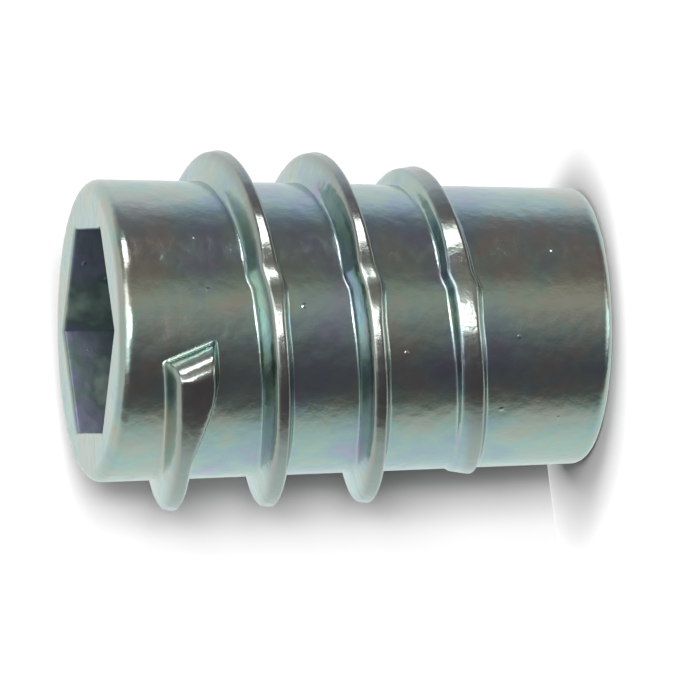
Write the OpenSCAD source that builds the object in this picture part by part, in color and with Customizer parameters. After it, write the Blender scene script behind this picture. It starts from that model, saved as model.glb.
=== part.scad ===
// Insert nut for wood: a one-piece zinc casting with a coarse thread outside,
// a hexagon socket in the drive end and a bolt bore through the nose.
// Millimetres. The axis is +Z, the nose stands on Z = 0 and the drive face is on top.

/* [Body] */
// Length from the nose to the drive face
body_l = 15; // [12:0.5:25]
// Diameter at the drive face
drive_d = 8.95; // [8.5:0.05:9.8]
// Diameter at the nose, smaller by the draft of the casting
nose_d = 8.2; // [7.6:0.05:8.8]
// Rounding of the rim round the drive face
drive_rim_r = 0.25; // [0.1:0.05:0.5]
// Rounding of the edge round the nose
nose_edge_r = 0.35; // [0.1:0.05:0.5]

/* [Drive socket] */
// Width of the hexagon across its flats
socket_af = 6; // [5.6:0.1:6.4]
// Depth of the hexagon below the drive face
socket_depth = 5; // [3:0.25:7]
// Half angle of the cone that leads from the hexagon into the bore
socket_cone_angle = 60; // [40:5:70]

/* [Bolt bore] */
// Diameter of the bore, on the crests of the bolt thread
bore_d = 5; // [4.4:0.1:5.4]
// Width of the chamfer round the mouth of the bore in the nose
mouth_chamfer = 0.5; // [0.2:0.05:0.7]

/* [Outside thread] */
// Distance from one turn to the next
pitch = 2.95; // [2.4:0.05:4]
// Height of the ridge above the body
ridge_h = 0.95; // [0.6:0.05:1.2]
// Width of the ridge where it meets the body
ridge_root_w = 0.9; // [0.8:0.05:1.4]
// Width of the ridge across its crest
ridge_crest_w = 0.44; // [0.26:0.02:0.6]
// Rounding of the two edges of the crest
crest_edge_r = 0.12; // [0.04:0.01:0.12]
// Distance of the start of the ridge below the drive face
start_drop = 1.74; // [1.2:0.01:3]
// Bearing of the start of the ridge about the axis
start_bearing = 260; // [0:1:359]
// Slant of the start, in degrees about the axis for each millimetre along it
start_slant = 5; // [0:1:12]
// Turn over which the blunt start rounds up to the full height, in degrees
start_ramp = 9; // [6:1:20]
// Extra width of the ridge at its start, on the side of the nose
start_flare = 0.7; // [0:0.05:0.9]
// Turn from the start over which the extra width holds, in degrees
flare_hold = 12; // [0:1:30]
// Turn from the start at which the extra width has run out, in degrees
flare_end = 45; // [40:5:90]
// Length of plain nose before the ridge begins to rise
plain_nose_l = 3.1; // [2.5:0.05:4]
// Half angle of the lead cone that trims the first turns at the nose
lead_angle = 15; // [10:1:30]

/* [Hidden] */

$fn = 96;
// Depth to which the ridge is rooted in the body
root_sink = 0.45;
// Depth under the surface at which the two ends of the ridge close
end_sink = 0.2;
// Turn between two sections of the ridge, in degrees
ridge_step = 6;
// Sections in the rise of the start
ramp_steps = 5;
// Straight pieces in a rounded edge
edge_steps = 4;
// Reach of a cut past the face that it opens
past = 1;

bore_r = bore_d / 2;
socket_corner_r = socket_af / 2 / cos(30);
socket_z = body_l - socket_depth;
// Height of the cone, from the bore up to the corners of the hexagon
cone_h = (socket_corner_r - bore_r) / tan(socket_cone_angle);
ridge_start_z = body_l - start_drop;
ridge_end_z = plain_nose_l - end_sink / tan(lead_angle);
ridge_turn = 360 * (ridge_start_z - ridge_end_z) / pitch;
flank_slope = (ridge_root_w - ridge_crest_w) / 2 / ridge_h;

// Radius of the tapered body at a height
function body_r(z) = (nose_d + (drive_d - nose_d) * z / body_l) / 2;

// Points of a quarter round about a centre, from one angle to another
function round_edge(centre, r, from, to) =
    [for (i = [0:edge_steps]) let (a = from + (to - from) * i / edge_steps)
        centre + r * [cos(a), sin(a)]];

// Point on the curve that rounds a corner, from the first point to the last
function corner_point(first, corner, last, u) =
    (1 - u) * (1 - u) * first + 2 * u * (1 - u) * corner + u * u * last;

// One side of the ridge section, as distance from its middle and height above the body
function ridge_half() =
    let (corner = [ridge_crest_w / 2, ridge_h],
         flank = [ridge_crest_w / 2 + flank_slope * crest_edge_r, ridge_h - crest_edge_r],
         crest = corner - [crest_edge_r, 0],
         root = [ridge_root_w / 2 + flank_slope * root_sink, -root_sink])
    concat([root], [for (i = [0:edge_steps]) corner_point(flank, corner, crest, i / edge_steps)]);

function ridge_section() =
    let (half = ridge_half(), n = len(half))
    concat(half, [for (i = [n - 1:-1:0]) [-half[i][0], half[i][1]]]);

// Turns from the start at which the ridge has a section: close in the rise, then even
function ridge_stations() =
    concat([for (i = [0:ramp_steps]) start_ramp * (1 - cos(90 * i / ramp_steps))],
           [for (a = [start_ramp + ridge_step:ridge_step:ridge_turn - ridge_step / 2]) a],
           [ridge_turn]);

// Extra width at a turn: full, then a smooth run-out
function flare_at(turn) =
    let (u = min(max((turn - flare_hold) / (flare_end - flare_hold), 0), 1))
    start_flare * (1 - u * u * (3 - 2 * u));

// Height limits: the quarter round of the start, and the lead cone at the nose
function rise_limit(turn) =
    let (u = 1 - min(turn / start_ramp, 1))
    -end_sink + (ridge_h + end_sink) * sqrt(1 - u * u);
function lead_limit(z) = (z - plain_nose_l) * tan(lead_angle);

// Point of the ridge: a section point carried down the right-hand helix
function ridge_point(turn, p) =
    let (t = p[0] < 0 ? p[0] - flare_at(turn) : p[0],
         a = -turn - start_slant * t,
         z = ridge_start_z + pitch * a / 360 + t,
         h = min(p[1], rise_limit(turn), max(lead_limit(z), -end_sink)),
         r = body_r(z) + h)
    [r * cos(start_bearing + a), r * sin(start_bearing + a), z];

module body_blank() {
    rotate_extrude()
        polygon(concat(
            [[0, 0]],
            round_edge([nose_d / 2 - nose_edge_r, nose_edge_r], nose_edge_r, -90, 0),
            round_edge([drive_d / 2 - drive_rim_r, body_l - drive_rim_r], drive_rim_r, 0, 90),
            [[0, body_l]]));
}

module outside_thread() {
    section = ridge_section();
    stations = ridge_stations();
    n = len(section);
    last = len(stations) - 1;
    points = [for (turn = stations) for (p = section) ridge_point(turn, p)];
    sides = [for (k = [0:last - 1]) for (i = [0:n - 1])
        let (j = (i + 1) % n, a = k * n, b = a + n)
        each [[a + i, a + j, b + j], [a + i, b + j, b + i]]];
    caps = [for (i = [1:n - 2])
        each [[0, i + 1, i], [last * n, last * n + i, last * n + i + 1]]];
    polyhedron(points, concat(sides, caps), convexity = 10);
}

// Hexagon for the key, closed at its foot by the cone into the bore
module drive_socket() {
    cone_r = socket_corner_r + past * tan(socket_cone_angle);
    intersection() {
        translate([0, 0, socket_z - cone_h - past])
            rotate([0, 0, 30])
                cylinder(h = socket_depth + cone_h + 2 * past, r = socket_corner_r, $fn = 6);
        rotate_extrude()
            polygon([[0, socket_z - cone_h - bore_r / tan(socket_cone_angle)],
                     [cone_r, socket_z + past],
                     [cone_r, body_l + past],
                     [0, body_l + past]]);
    }
}

// Bore for the bolt, with a chamfered mouth in the nose
module bolt_bore() {
    rotate_extrude()
        polygon([[0, -past],
                 [bore_r + mouth_chamfer + past, -past],
                 [bore_r, mouth_chamfer],
                 [bore_r, socket_z],
                 [0, socket_z]]);
}

module insert_body() {
    color([0.66, 0.71, 0.7])
        difference() {
            union() {
                body_blank();
                outside_thread();
            }
            drive_socket();
            bolt_bore();
        }
}

insert_body();
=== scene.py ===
"""Looks of the threaded insert: a plated zinc casting with a coarse wood thread outside.

The insert stands on its nose with its axis on +Z. Lengths are in metres, written as
millimetres times MM. Bearings are degrees about the axis, from +X towards +Y. Azimuths, for
the light and the stage, are degrees from the camera's side, -Y, towards +X.
"""

import math

import bmesh
import bpy
from mathutils import Matrix, Vector


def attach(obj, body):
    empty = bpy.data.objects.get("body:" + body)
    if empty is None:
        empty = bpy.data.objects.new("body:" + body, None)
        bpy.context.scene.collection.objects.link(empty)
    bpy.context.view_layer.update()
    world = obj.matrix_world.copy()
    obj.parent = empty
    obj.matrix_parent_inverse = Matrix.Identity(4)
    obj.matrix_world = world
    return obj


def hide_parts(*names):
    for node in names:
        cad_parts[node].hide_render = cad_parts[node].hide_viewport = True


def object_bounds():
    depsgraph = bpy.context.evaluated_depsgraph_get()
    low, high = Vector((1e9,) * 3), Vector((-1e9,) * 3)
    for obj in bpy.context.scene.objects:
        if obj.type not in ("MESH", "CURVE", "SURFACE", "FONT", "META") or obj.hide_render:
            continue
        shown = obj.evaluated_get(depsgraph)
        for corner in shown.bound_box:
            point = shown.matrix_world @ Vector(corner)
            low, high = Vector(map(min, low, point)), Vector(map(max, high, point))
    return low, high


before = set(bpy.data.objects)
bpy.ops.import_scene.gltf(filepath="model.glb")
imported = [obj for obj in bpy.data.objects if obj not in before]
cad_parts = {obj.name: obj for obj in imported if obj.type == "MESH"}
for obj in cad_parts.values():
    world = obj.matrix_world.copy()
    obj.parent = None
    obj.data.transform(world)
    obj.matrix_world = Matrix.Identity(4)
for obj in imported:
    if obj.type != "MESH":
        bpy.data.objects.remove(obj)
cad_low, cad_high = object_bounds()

MM = 0.001
MERGE = 0.0005 * MM

# Body: the solid's sizes, with the drive rim rounded a little more
LENGTH = cad_high.z - cad_low.z
MIDDLE = Vector((0, 0, LENGTH / 2))
DRIVE_RADIUS = 4.475 * MM
NOSE_RADIUS = 4.1 * MM
DRIVE_RIM = 0.36 * MM
NOSE_EDGE = 0.35 * MM
EDGE_STEPS = 6
FACE_MARGIN = 0.06 * MM

# Hexagon socket and bolt bore
SOCKET_SIDES = 6
SOCKET_HALF_SIDE = math.radians(180 / SOCKET_SIDES)
SOCKET_FLAT = 3.0 * MM
SOCKET_CORNER = SOCKET_FLAT / math.cos(SOCKET_HALF_SIDE)
SOCKET_FLOOR = LENGTH - 5.0 * MM
SOCKET_LIP = 0.12 * MM
SOCKET_SIDE_CUTS = 9
SOCKET_SHARP = math.radians(35)
CONE_ANGLE = math.radians(60)
CONE_FOOT = 0.03 * MM
BORE_RADIUS = 2.5 * MM
BORE_TOP = SOCKET_FLOOR - (SOCKET_CORNER - BORE_RADIUS) / math.tan(CONE_ANGLE)
MOUTH_CHAMFER = 0.5 * MM

# Bolt thread in the bore, with the groove's middle and reach as shares of a pitch
BOLT_PITCH = 1.0 * MM
BOLT_DEPTH = 0.5 * MM
BOLT_RUNOUT = 0.7 * MM
GROOVE_MIDDLE = 0.27
GROOVE_REACH = 0.42
GROOVE_STEEPNESS = 1.25

# Rows of the bore's wall over one pitch in millimetres, the turns that they cover, and steps round
BOLT_ROWS = [0.0, 0.06, 0.2, 0.34, 0.48, 0.54, 0.6, 0.74, 0.87]
BOLT_TURNS = range(-1, 11)
BOLT_STEPS = 72

# Coarse thread outside
PITCH = 2.95 * MM
RIDGE_HEIGHT = 0.95 * MM
RIDGE_ROOT = 0.9 * MM
RIDGE_CREST = 0.44 * MM
FLANK_SLOPE = (RIDGE_ROOT - RIDGE_CREST) / 2 / RIDGE_HEIGHT
CREST_ROUND = 0.5 * MM
CREST_TILT = math.tan(math.radians(10))
ROOT_FILLET = 0.18 * MM
LEAST_FILLET = 0.02 * MM
START_LEVEL = LENGTH - 1.74 * MM
START_BEARING = 260.0
START_SLANT = 5.0 / MM
START_RAMP = 9.0
END_SINK = 0.2 * MM
START_FLARE = 0.7 * MM
START_FLARE_HOLD = 12.0
START_FLARE_END = 45.0
LEAD_LEVEL = 3.1 * MM
LEAD_SLOPE = math.tan(math.radians(15))

# Parting line of the mould, where the flanks run straight and the crest is trimmed
PARTING_BEARING = 288.0
PARTING_TURN = 16.0
PARTING_STEP = 4.0
CREST_TRIM = 0.1 * MM
CREST_TRIM_TURN = 13.0

# Rows of the outside wall over one pitch, in millimetres from the middle of the ridge:
# close together over the ridge and its roots, then a few over the land
ROW_FIRST = -1.45
ROW_GAP = 0.05
CLOSE_ROWS = 46
LAND_ROWS = [0.95, 1.15, 1.35]
SKIN_ROWS = [ROW_FIRST + ROW_GAP * step for step in range(CLOSE_ROWS)] + LAND_ROWS
SKIN_TURNS = range(-6, 3)

# Spans of the outside wall as degrees and steps, from the bearing of its seam:
# the fine ones cover the start of the ridge and the two parting lines
SKIN_SEAM = 180
SKIN_SPANS = [(64, 22), (24, 48), (14, 7), (12, 24), (168, 56), (12, 24), (66, 22)]

# Tints of the plate by the noise, from blue through green to warm grey, and of the inside of the
# socket and the bore, darker there as painted shade
PLATE_TINTS = [(0.3, (0.37, 0.38, 0.47)), (0.42, (0.33, 0.43, 0.46)),
               (0.55, (0.36, 0.48, 0.43)), (0.7, (0.43, 0.455, 0.395))]
SHADED_INSIDE_TINTS = [(0.35, (0.27, 0.26, 0.40)), (0.55, (0.18, 0.25, 0.24)),
              (0.72, (0.42, 0.55, 0.48))]

# The plate is warmer towards both ends, by distance from the middle of the axis
WARM_FROM = 3 * MM
WARM_FULL = 6.5 * MM
WARM_SHIFT = 0.12

# Worn crests: their tint, and the shares of the ridge's height where wear begins and is full
WORN_TINT = (0.33, 0.365, 0.335, 1)
WORN_FROM = 0.52
WORN_FULL = 0.92

# Noises of the finish as scale, detail and roughness of the noise
TINT_NOISE = (620, 3, 0.55)
GRAIN_NOISE = (2600, 4, 0.6)
WAVE_NOISE = (900, 2, 0.5)
SPECK_SCALE = 800
SPECK_REACH = 0.07

# Roughness and bumps of the finish
LEAST_ROUGH = 0.12
MOST_ROUGH = 0.3
ROUGHER_INSIDE = 0.25
BUMP_STRENGTH = 0.7
WAVE_DEPTH = 0.05 * MM
GRAIN_DEPTH = 0.018 * MM
SPECK_DEPTH = 0.03 * MM

# Camera, with the insert lying across the picture and its hexagon to the left
PICTURE = 700
PIXELS_PER_MM = 33.72
MIDDLE_PIXEL = (334.85, 328.28)
CAMERA_ELEVATION = 13.615
CAMERA_ROLL = 0.631
CAMERA_DISTANCE = 400 * MM
SENSOR_WIDTH = 36

# Stage: the sheet stands where the ground is in the photo
STAGE_SIZE = 0.6
SHEET_AZIMUTH = 24.9
SHEET_DISTANCE = 5.36 * MM
SHEET_BEND = 0.01 * MM
SHEET_BEND_STEPS = 12
SHEET_LIFT = 0.01 * MM
PAPER_WHITE = (0.92, 0.92, 0.92, 1)

# Light of the room by azimuth
ROOM_LIGHT = [(-112, (0.90, 1.00, 1.00)), (-90, (0.74, 0.84, 0.86)), (-76, (0.58, 0.62, 0.60)),
              (-65, (0.18, 0.17, 0.16)), (-54, (0.125, 0.105, 0.12)), (-35, (0.115, 0.095, 0.11)),
              (-20, (0.15, 0.13, 0.145)), (-6, (0.24, 0.23, 0.235)), (8, (0.36, 0.35, 0.345)),
              (19, (0.51, 0.49, 0.46)), (27, (0.48, 0.46, 0.40)), (40, (0.255, 0.235, 0.22)),
              (50, (0.22, 0.18, 0.18)), (82, (0.22, 0.18, 0.20)), (94, (0.25, 0.24, 0.28)),
              (106, (0.46, 0.50, 0.60)), (118, (0.84, 0.88, 1.00)), (132, (0.95, 0.98, 1.00))]

# Light level by azimuth towards the two ends of the axis, and at the ends themselves
END_LIGHT = [(-110, 1.0), (-85, 0.8), (-70, 0.2), (-40, 0.15), (-26, 1.2), (-14, 2.4),
             (32, 2.4), (46, 0.4), (75, 0.25), (100, 0.6), (118, 1.0)]
CAP_LIGHT = (0.8, 0.8, 0.8, 1)

# Heights, from the level that the plain body mirrors, over which one light goes into the next
END_HEIGHTS = (0.35, 0.8)
CAP_HEIGHTS = (0.92, 1.1)

# Share of the room's light that falls on the paper
PAPER_AMBIENT = 0.14

# Lamps: name, azimuth, elevation, width and height, power, and whether the metal shows them
LAMP_DISTANCE = 0.5
LAMPS = [("window", 4, 16, (0.13, 0.24), 0.8, True),
         ("glint", 63, 10, (0.12, 0.26), 0.6, True),
         ("sheet_light", 14.5, 5, (0.17, 0.5), 3.1, False),
         ("floor_light", 65, 87, (0.14, 0.14), 2.4, False)]


def smooth_low(a, b, blend):
    """The lower of two heights, with the corner between them rounded over blend."""
    near = max(blend - abs(a - b), 0) / blend
    return min(a, b) - near * near * blend / 4


def smooth_high(a, b, blend):
    """The higher of two heights, with the corner between them filled over blend."""
    return -smooth_low(-a, -b, blend)


def ease(share):
    """A smooth step from 0 to 1."""
    share = min(max(share, 0), 1)
    return share * share * (3 - 2 * share)


def body_radius(level):
    """Radius of the body, which tapers from the drive end to the nose."""
    share = (level - NOSE_EDGE) / (LENGTH - DRIVE_RIM - NOSE_EDGE)
    return NOSE_RADIUS + (DRIVE_RADIUS - NOSE_RADIUS) * share


def from_parting(bearing):
    """Degrees past the nearer of the two parting lines, negative before it."""
    return (bearing - PARTING_BEARING + 90) % 180 - 90


def ridge_place(bearing, level):
    """Degrees of turn from the start of the ridge, and distance along the axis from its middle."""
    behind = (bearing - START_BEARING) % 360 - 360
    middle = START_LEVEL + PITCH * behind / 360
    turns = round((middle - level) / PITCH)
    behind -= 360 * turns
    offset = level - START_LEVEL - PITCH * behind / 360
    return -behind - START_SLANT * offset, offset


def ridge_height(bearing, level):
    """Height of the outside thread above the body."""
    turn, offset = ridge_place(bearing, level)
    parting = from_parting(bearing)
    past = ease(0.5 + parting / PARTING_STEP / 2)
    straight = PITCH * max(PARTING_TURN - abs(parting), 0) / 360
    run_out = (turn - START_FLARE_HOLD) / (START_FLARE_END - START_FLARE_HOLD)
    flare = START_FLARE * (1 - ease(run_out))
    drive_side = offset - straight * past
    nose_side = -offset - straight * (1 - past) - flare
    flank = (RIDGE_ROOT / 2 - max(drive_side, nose_side)) / FLANK_SLOPE
    trim = CREST_TRIM * (1 - past) * ease(1 - abs(parting) / CREST_TRIM_TURN)
    short = min(max(1 - turn / START_RAMP, 0), 1)
    rise = (RIDGE_HEIGHT + END_SINK) * math.sqrt(1 - short * short) - END_SINK
    lead = (level - offset - LEAD_LEVEL) * LEAD_SLOPE
    tilt = CREST_TILT * max(offset + RIDGE_CREST / 2, 0)
    top = min(RIDGE_HEIGHT - trim - tilt, rise, lead - tilt)
    fillet = min(max(top, LEAST_FILLET), ROOT_FILLET)
    return smooth_high(smooth_low(flank, top, CREST_ROUND), 0, fillet)


def helix_wall(seam_bearing, seam_levels, radius, pitch, spans, low, high):
    """A round wall between two levels whose rows climb one pitch a turn, as a thread does.

    Each span is a number of degrees and the steps that it is spun in.
    """
    bm = bmesh.new()
    along = Matrix.Rotation(math.radians(seam_bearing), 3, "Z") @ Vector((radius, 0, 0))
    seam = [bm.verts.new(along + Vector((0, 0, level))) for level in seam_levels]
    rows = seam + [bm.edges.new(pair) for pair in zip(seam, seam[1:])]
    for degrees, steps in spans:
        climb = (0, 0, pitch * degrees / 360 / steps)
        rows = bmesh.ops.spin(bm, geom=rows, cent=(0, 0, 0), axis=(0, 0, 1), dvec=climb,
                              angle=math.radians(degrees), steps=steps)["geom_last"]
    bmesh.ops.remove_doubles(bm, verts=bm.verts, dist=MERGE)
    for level, outward in ((low, -1), (high, 1)):
        bmesh.ops.bisect_plane(bm, geom=bm.verts[:] + bm.edges[:] + bm.faces[:], dist=MERGE,
                               plane_co=(0, 0, level), plane_no=(0, 0, outward), clear_outer=True)
    return bm


def open_edges(bm, low, high):
    """Edges of the open loops that lie between two levels."""
    return [edge for edge in bm.edges if len(edge.link_faces) < 2
            and all(low - MERGE < corner.co.z < high + MERGE for corner in edge.verts)]


def draw_loop(bm, loop, place):
    """Extrudes an open loop of edges and puts each new corner where place says."""
    made = bmesh.ops.extrude_edge_only(bm, edges=loop)["geom"]
    for corner in made:
        if isinstance(corner, bmesh.types.BMVert):
            corner.co = place(corner.co)
    return [edge for edge in made if isinstance(edge, bmesh.types.BMEdge) and edge.is_boundary]


def on_ring(radius, level):
    """A place rule: the same bearing at a radius and a level."""
    def place(co):
        return Vector((co.x, co.y, 0)).normalized() * radius + Vector((0, 0, level))
    return place


def drawn_in(shrink, level):
    """A place rule: drawn towards the axis by a factor, at a level."""
    def place(co):
        return Vector((co.x * shrink, co.y * shrink, level))
    return place


def cone_edge(co):
    """A place rule: straight down a wall of the socket to the cone."""
    short = SOCKET_CORNER - co.xy.length
    return Vector((co.x, co.y, SOCKET_FLOOR - short / math.tan(CONE_ANGLE)))


def bearing_of(co):
    """Degrees about the axis."""
    return math.degrees(math.atan2(co.y, co.x))


def outside_skin():
    """Body, coarse thread, the two rounded edges and the flat ring of the nose."""
    behind = (SKIN_SEAM - START_BEARING) / 360
    levels = [START_LEVEL + PITCH * (behind + turn) + row * MM
              for turn in SKIN_TURNS for row in SKIN_ROWS]
    low, high = NOSE_EDGE, LENGTH - DRIVE_RIM
    bm = helix_wall(SKIN_SEAM, levels, DRIVE_RADIUS, PITCH, SKIN_SPANS, low, high)
    for corner in bm.verts:
        radius = body_radius(corner.co.z) + ridge_height(bearing_of(corner.co), corner.co.z)
        corner.co = on_ring(radius, corner.co.z)(corner.co)
    rim, edge = open_edges(bm, high, high), open_edges(bm, low, low)
    for step in range(1, EDGE_STEPS + 1):
        angle = math.radians(90 * step / EDGE_STEPS)
        inward, outward = 1 - math.cos(angle), math.sin(angle)
        rim_place = on_ring(DRIVE_RADIUS - DRIVE_RIM * inward, high + DRIVE_RIM * outward)
        edge_place = on_ring(NOSE_RADIUS - NOSE_EDGE * inward, low - NOSE_EDGE * outward)
        rim = draw_loop(bm, rim, rim_place)
        edge = draw_loop(bm, edge, edge_place)
    draw_loop(bm, rim, on_ring(DRIVE_RADIUS - DRIVE_RIM - FACE_MARGIN, LENGTH))
    edge = draw_loop(bm, edge, on_ring(NOSE_RADIUS - NOSE_EDGE - FACE_MARGIN, 0))
    draw_loop(bm, edge, on_ring(BORE_RADIUS + MOUTH_CHAMFER, 0))
    return bm


def bolt_thread():
    """The tapped bore, from the chamfer in the nose up to the cone of the socket."""
    levels = [BOLT_PITCH * turn + row * MM for turn in BOLT_TURNS for row in BOLT_ROWS]
    spans = [(360, BOLT_STEPS)]
    bm = helix_wall(0, levels, BORE_RADIUS, BOLT_PITCH, spans, MOUTH_CHAMFER, BORE_TOP)
    for corner in bm.verts:
        level = corner.co.z
        turn = (level / BOLT_PITCH - bearing_of(corner.co) / 360) % 1
        near = max(1 - abs(turn - GROOVE_MIDDLE) / GROOVE_REACH, 0)
        groove = min(near * GROOVE_STEEPNESS, 1)
        end = min(level - MOUTH_CHAMFER, BORE_TOP - level) / BOLT_RUNOUT
        corner.co = on_ring(BORE_RADIUS + BOLT_DEPTH * groove * ease(end), level)(corner.co)
    return bm


def drive_socket():
    """The hexagon: its rounded lip, six walls and the cone down to the bore."""
    bm = bmesh.new()
    lip_flat = SOCKET_FLAT + SOCKET_LIP
    flat = lip_flat + FACE_MARGIN
    bmesh.ops.create_circle(bm, cap_ends=False, segments=SOCKET_SIDES,
                            radius=flat / math.cos(SOCKET_HALF_SIDE),
                            matrix=Matrix.Translation((0, 0, LENGTH)))
    bmesh.ops.subdivide_edges(bm, edges=bm.edges[:], cuts=SOCKET_SIDE_CUTS)
    loop = bm.edges[:]
    for step in range(EDGE_STEPS + 1):
        angle = math.radians(90 * step / EDGE_STEPS)
        next_flat = lip_flat - SOCKET_LIP * math.sin(angle)
        level = LENGTH - SOCKET_LIP * (1 - math.cos(angle))
        loop = draw_loop(bm, loop, drawn_in(next_flat / flat, level))
        flat = next_flat
    loop = draw_loop(bm, loop, cone_edge)
    draw_loop(bm, loop, on_ring(BORE_RADIUS + CONE_FOOT, BORE_TOP))
    for edge in bm.edges:
        edge.smooth = edge.calc_face_angle(0) < SOCKET_SHARP
    return bm


def mark_finish(mesh):
    """Says at each corner of the casting whether it lies inside, and how worn it is."""
    inside = mesh.attributes.new("inside", "FLOAT", "POINT")
    worn = mesh.attributes.new("worn", "FLOAT", "POINT")
    for corner, inside_share, worn_share in zip(mesh.vertices, inside.data, worn.data):
        level, radius = corner.co.z, corner.co.xy.length
        between_ends = 0 < level < LENGTH - SOCKET_LIP / 2
        # Inside the socket and the bore the plate is rougher, and darker as painted shade
        inside_share.value = float(between_ends and radius < NOSE_RADIUS - NOSE_EDGE)
        full_height = min(max((level - LEAD_LEVEL) * LEAD_SLOPE, CREST_TRIM), RIDGE_HEIGHT)
        height = (radius - body_radius(level)) / full_height
        worn_share.value = ease((height - WORN_FROM) / (WORN_FULL - WORN_FROM))


def cast_insert():
    """The whole casting as one closed mesh."""
    mesh = bpy.data.meshes.new("cast_insert")
    bm = bmesh.new()
    for part in (outside_skin(), bolt_thread(), drive_socket()):
        part.to_mesh(mesh)
        part.free()
        bm.from_mesh(mesh)
    for level in (LENGTH, BORE_TOP):
        bmesh.ops.triangle_fill(bm, use_beauty=True, edges=open_edges(bm, level, level))
    bmesh.ops.bridge_loops(bm, edges=open_edges(bm, 0, MOUTH_CHAMFER))
    bmesh.ops.recalc_face_normals(bm, faces=bm.faces)
    for face in bm.faces:
        face.smooth = True
    bm.to_mesh(mesh)
    bm.free()
    mark_finish(mesh)
    piece = bpy.data.objects.new("cast_insert", mesh)
    bpy.context.scene.collection.objects.link(piece)
    return piece


def add_node(tree, kind, inputs=(), **settings):
    """A shader node with its settings, its values and its links."""
    made = tree.nodes.new(kind)
    for name, value in settings.items():
        setattr(made, name, value)
    for name, value in dict(inputs).items():
        if isinstance(value, bpy.types.NodeSocket):
            tree.links.new(value, made.inputs[name])
        else:
            made.inputs[name].default_value = value
    return made


def calculate(tree, operation, *values):
    """The result of one sum on values or on the outputs of other nodes."""
    inputs = dict(enumerate(values))
    return add_node(tree, "ShaderNodeMath", inputs, operation=operation).outputs[0]


def carry_over(tree, value, start, end, interpolation="LINEAR"):
    """Carries a value from one range over to another, each given as a pair in order."""
    inputs = {"Value": value, "From Min": start[0], "From Max": start[1],
              "To Min": end[0], "To Max": end[1]}
    made = add_node(tree, "ShaderNodeMapRange", inputs, interpolation_type=interpolation)
    return made.outputs["Result"]


def fade(tree, share, first, second):
    """A colour that goes from the first to the second as the share goes from 0 to 1."""
    inputs = {0: share, 6: first, 7: second}
    return add_node(tree, "ShaderNodeMix", inputs, data_type="RGBA").outputs[2]


def ramp(tree, share, stops):
    """Colours along a share from 0 to 1, given as pairs of place and colour."""
    made = add_node(tree, "ShaderNodeValToRGB", {"Fac": share})
    elements = made.color_ramp.elements
    while len(elements) < len(stops):
        elements.new(0.5)
    for element, (place, colour) in zip(elements, stops):
        element.position = place
        element.color = (*colour, 1)
    return made.outputs["Color"]


def noise(tree, place, scale, detail, roughness):
    """Soft noise in the metal."""
    inputs = {"Vector": place, "Scale": scale, "Detail": detail, "Roughness": roughness}
    return add_node(tree, "ShaderNodeTexNoise", inputs).outputs["Fac"]


def marked(tree, name):
    """A share that mark_finish wrote on the mesh."""
    return add_node(tree, "ShaderNodeAttribute", attribute_name=name).outputs["Fac"]


def bumps(tree, height, depth, under=None):
    """The surface's direction with bumps of a depth, laid over other bumps if there are any."""
    inputs = {"Height": height, "Strength": BUMP_STRENGTH, "Distance": depth}
    if under is not None:
        inputs["Normal"] = under
    return add_node(tree, "ShaderNodeBump", inputs).outputs["Normal"]


def zinc_plate():
    """Bright zinc plate on a casting: mottled satin metal with small bumps.

    It is rougher inside the socket and the bore, where its tints are darker as painted shade, and
    worn on the crests.
    """
    material = bpy.data.materials.new("zinc_plate")
    material.use_nodes = True
    tree = material.node_tree
    shader = tree.nodes["Principled BSDF"]
    place = add_node(tree, "ShaderNodeTexCoord").outputs["Object"]
    inside, worn = marked(tree, "inside"), marked(tree, "worn")
    grain = noise(tree, place, *GRAIN_NOISE)
    wave = noise(tree, place, *WAVE_NOISE)

    tint = noise(tree, place, *TINT_NOISE)
    along = add_node(tree, "ShaderNodeSeparateXYZ", {"Vector": place}).outputs["Z"]
    from_middle = calculate(tree, "ABSOLUTE", calculate(tree, "SUBTRACT", along, MIDDLE.z))
    warmer = carry_over(tree, from_middle, (WARM_FROM, WARM_FULL), (0, WARM_SHIFT))
    plate = ramp(tree, calculate(tree, "ADD", tint, warmer), PLATE_TINTS)
    outside = fade(tree, worn, plate, WORN_TINT)
    # The inside of the socket and the bore takes darker tints: painted shade in the recess
    colour = fade(tree, inside, outside, ramp(tree, tint, SHADED_INSIDE_TINTS))

    satin = carry_over(tree, grain, (0, 1), (LEAST_ROUGH, MOST_ROUGH))
    rough = calculate(tree, "MULTIPLY_ADD", inside, ROUGHER_INSIDE, satin)

    cells = add_node(tree, "ShaderNodeTexVoronoi", {"Vector": place, "Scale": SPECK_SCALE})
    speck = carry_over(tree, cells.outputs["Distance"], (0, SPECK_REACH), (1, 0))
    waves = bumps(tree, wave, WAVE_DEPTH)
    grains = bumps(tree, grain, GRAIN_DEPTH, waves)
    specks = bumps(tree, speck, SPECK_DEPTH, grains)

    shader.inputs["Metallic"].default_value = 1.0
    tree.links.new(colour, shader.inputs["Base Color"])
    tree.links.new(rough, shader.inputs["Roughness"])
    tree.links.new(specks, shader.inputs["Normal"])
    return material


def by_azimuth(tree, share, levels):
    """Colours of light by azimuth, along a share of the full turn."""
    return ramp(tree, share, [((azimuth + 180) / 360, colour) for azimuth, colour in levels])


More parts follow.
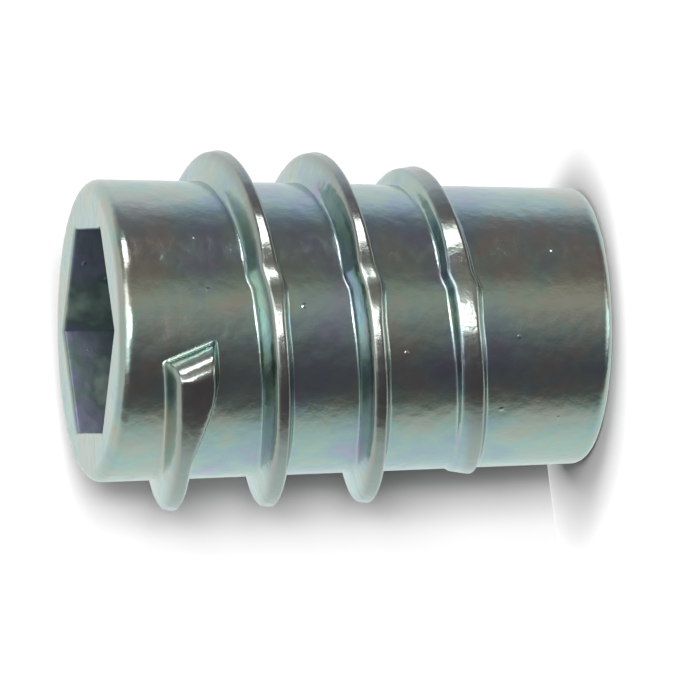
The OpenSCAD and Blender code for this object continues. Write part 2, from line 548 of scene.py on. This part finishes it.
def studio_world():
    """Soft light by direction: white from behind the insert, and a dim room on the camera's side.

    Less of it falls on the paper than on the metal.
    """
    world = bpy.data.worlds.new("studio")
    bpy.context.scene.world = world
    world.use_nodes = True
    tree = world.node_tree
    direction = add_node(tree, "ShaderNodeTexCoord").outputs["Generated"]
    parts = add_node(tree, "ShaderNodeSeparateXYZ", {"Vector": direction}).outputs
    front = calculate(tree, "MULTIPLY", parts["Y"], -1.0)
    turn = calculate(tree, "ARCTAN2", parts["X"], front)
    share = carry_over(tree, turn, (-math.pi, math.pi), (0, 1))
    bands = by_azimuth(tree, share, ROOM_LIGHT)
    ends = by_azimuth(tree, share, [(azimuth, (level,) * 3) for azimuth, level in END_LIGHT])

    mirrored_level = math.sin(math.radians(CAMERA_ELEVATION))
    height = calculate(tree, "ABSOLUTE", calculate(tree, "ADD", parts["Z"], mirrored_level))
    to_end = carry_over(tree, height, END_HEIGHTS, (0, 1), "SMOOTHSTEP")
    to_cap = carry_over(tree, height, CAP_HEIGHTS, (0, 1), "SMOOTHSTEP")
    light = fade(tree, to_end, bands, fade(tree, to_cap, ends, CAP_LIGHT))

    onto_paper = add_node(tree, "ShaderNodeLightPath").outputs["Diffuse Depth"]
    strength = carry_over(tree, onto_paper, (0, 1), (1, PAPER_AMBIENT))
    background = tree.nodes["Background"]
    tree.links.new(light, background.inputs["Color"])
    tree.links.new(strength, background.inputs["Strength"])


def towards(azimuth, elevation):
    """The direction at an azimuth and an elevation."""
    a, e = math.radians(azimuth), math.radians(elevation)
    return Vector((math.sin(a) * math.cos(e), -math.cos(a) * math.cos(e), math.sin(e)))


def area_lamp(name, azimuth, elevation, size, power, in_metal):
    """A soft lamp aimed at the middle of the insert."""
    lamp = bpy.data.lights.new(name, "AREA")
    lamp.shape = "RECTANGLE"
    lamp.size, lamp.size_y = size
    lamp.energy = power
    holder = bpy.data.objects.new(name, lamp)
    back = towards(azimuth, elevation)
    holder.location = MIDDLE + back * LAMP_DISTANCE
    holder.rotation_euler = back.to_track_quat("Z", "Y").to_euler()
    holder.visible_glossy = in_metal
    bpy.context.scene.collection.objects.link(holder)


def stage_piece(name, bm):
    """A piece of the stage, which the metal doesn't mirror and which throws no light back."""
    mesh = bpy.data.meshes.new(name)
    bm.to_mesh(mesh)
    bm.free()
    piece = bpy.data.objects.new(name, mesh)
    bpy.context.scene.collection.objects.link(piece)
    piece.visible_glossy = False
    piece.visible_diffuse = False
    return piece


def paper(name, one_sided):
    """Plain pale paper. One-sided paper can't be seen from behind."""
    material = bpy.data.materials.new(name)
    material.use_nodes = True
    tree = material.node_tree
    tree.nodes.remove(tree.nodes["Principled BSDF"])
    surface = add_node(tree, "ShaderNodeBsdfDiffuse", {"Color": PAPER_WHITE}).outputs[0]
    if one_sided:
        behind = add_node(tree, "ShaderNodeNewGeometry").outputs["Backfacing"]
        clear = add_node(tree, "ShaderNodeBsdfTransparent").outputs[0]
        surface = add_node(tree, "ShaderNodeMixShader", {0: behind, 1: surface, 2: clear}).outputs[0]
    tree.links.new(surface, tree.nodes["Material Output"].inputs["Surface"])
    return material


def pale_floor():
    """A pale floor under the nose."""
    bm = bmesh.new()
    bmesh.ops.create_grid(bm, x_segments=1, y_segments=1, size=STAGE_SIZE)
    stage_piece("floor", bm).data.materials.append(paper("floor_paper", False))


def pale_sheet():
    """A pale sheet that turns up from the floor in a tight bend, close behind the thread."""
    facing = towards(SHEET_AZIMUTH, 0)
    above = Vector((0, 0, 1))
    beside = above.cross(facing)
    foot = facing * (SHEET_BEND - SHEET_DISTANCE) + above * SHEET_LIFT - beside * STAGE_SIZE
    bm = bmesh.new()
    bend = [bm.verts.new(foot)]
    bmesh.ops.spin(bm, geom=bend, cent=foot + above * SHEET_BEND, axis=beside,
                   angle=math.radians(90), steps=SHEET_BEND_STEPS)
    top = max(bm.verts, key=lambda corner: corner.co.z)
    bm.edges.new((top, bm.verts.new(top.co + above * STAGE_SIZE)))
    wide = bmesh.ops.extrude_edge_only(bm, edges=bm.edges[:])["geom"]
    bmesh.ops.translate(bm, vec=beside * 2 * STAGE_SIZE,
                        verts=[part for part in wide if isinstance(part, bmesh.types.BMVert)])
    for face in bm.faces:
        face.normal_update()
        if face.normal.dot(facing + above) < 0:
            face.normal_flip()
        face.smooth = True
    sheet = stage_piece("sheet", bm)
    sheet.data.materials.append(paper("sheet_paper", True))
    sheet.visible_shadow = False


def photo_camera():
    """The camera of the photo, turned so that the axis lies across the picture."""
    data = bpy.data.cameras.new("camera")
    camera = bpy.data.objects.new("camera", data)
    back, up = towards(0, CAMERA_ELEVATION), Vector((1, 0, 0))
    across = up.cross(back)
    roll = math.radians(CAMERA_ROLL)
    right = across * math.cos(roll) - up * math.sin(roll)
    above = across * math.sin(roll) + up * math.cos(roll)
    pixel = MM / PIXELS_PER_MM
    aim = (MIDDLE + right * (PICTURE / 2 - MIDDLE_PIXEL[0]) * pixel
           - above * (PICTURE / 2 - MIDDLE_PIXEL[1]) * pixel)
    turned = Matrix((right, above, back)).transposed().to_4x4()
    camera.matrix_world = Matrix.Translation(aim + back * CAMERA_DISTANCE) @ turned
    data.sensor_width = SENSOR_WIDTH
    data.lens = SENSOR_WIDTH * CAMERA_DISTANCE / (PICTURE * pixel)
    data.clip_start, data.clip_end = 0.01, 10
    bpy.context.scene.collection.objects.link(camera)
    bpy.context.scene.camera = camera


insert = cast_insert()
insert.data.materials.append(zinc_plate())
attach(insert, "root")
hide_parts("insert_body")

studio_world()
pale_floor()
pale_sheet()
for lamp_settings in LAMPS:
    area_lamp(*lamp_settings)
photo_camera()
bpy.context.scene.view_settings.view_transform = "Standard"
